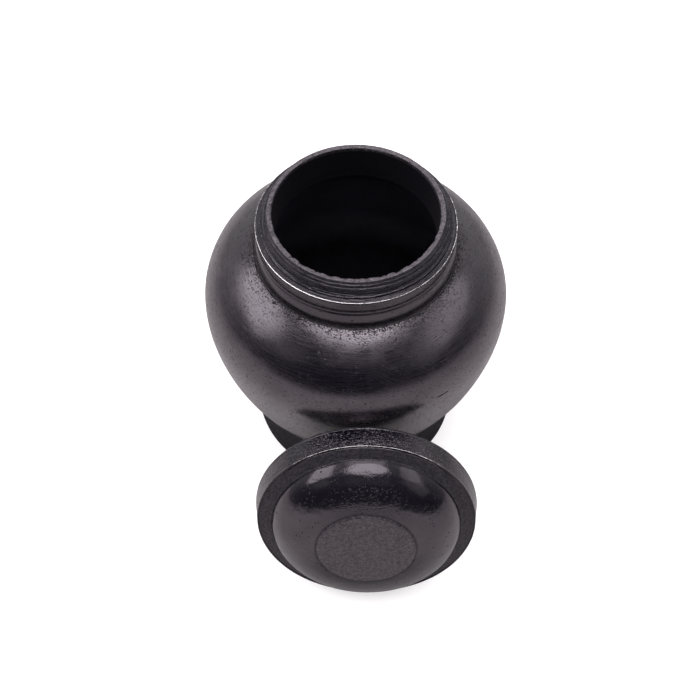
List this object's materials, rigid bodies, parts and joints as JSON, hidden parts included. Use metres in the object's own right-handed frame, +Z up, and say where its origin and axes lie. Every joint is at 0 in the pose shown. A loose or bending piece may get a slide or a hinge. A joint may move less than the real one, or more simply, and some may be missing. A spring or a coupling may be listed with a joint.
{
  "type": "lidded clay jar",
  "caption": "Round-bellied lidded jar in burnished black clay, with a stepped neck and a low foot; the domed cap lid leans against the belly.",
  "frame": {"origin": "centre of the jar's foot, on the surface that it stands on", "axes": "+Z up along the jar's axis; -Y towards the lid, which stands on its edge and leans on the front of the belly; +X to the right as seen from the lid's side"},
  "size_m": [0.15, 0.2061, 0.1626],
  "materials": {
    "jar_clay": "satin",
    "lid_clay": "satin"
  },
  "bodies": {
    "jar": {"jar_body": "jar_clay"},
    "lid": {"cap_lid": "lid_clay"}
  },
  "joints": [
    {"name": "lid_lift", "type": "slide", "parent": "jar", "child": "lid", "axis": [0, 0, 1], "range_m": [0, 0.18]}
  ]
}
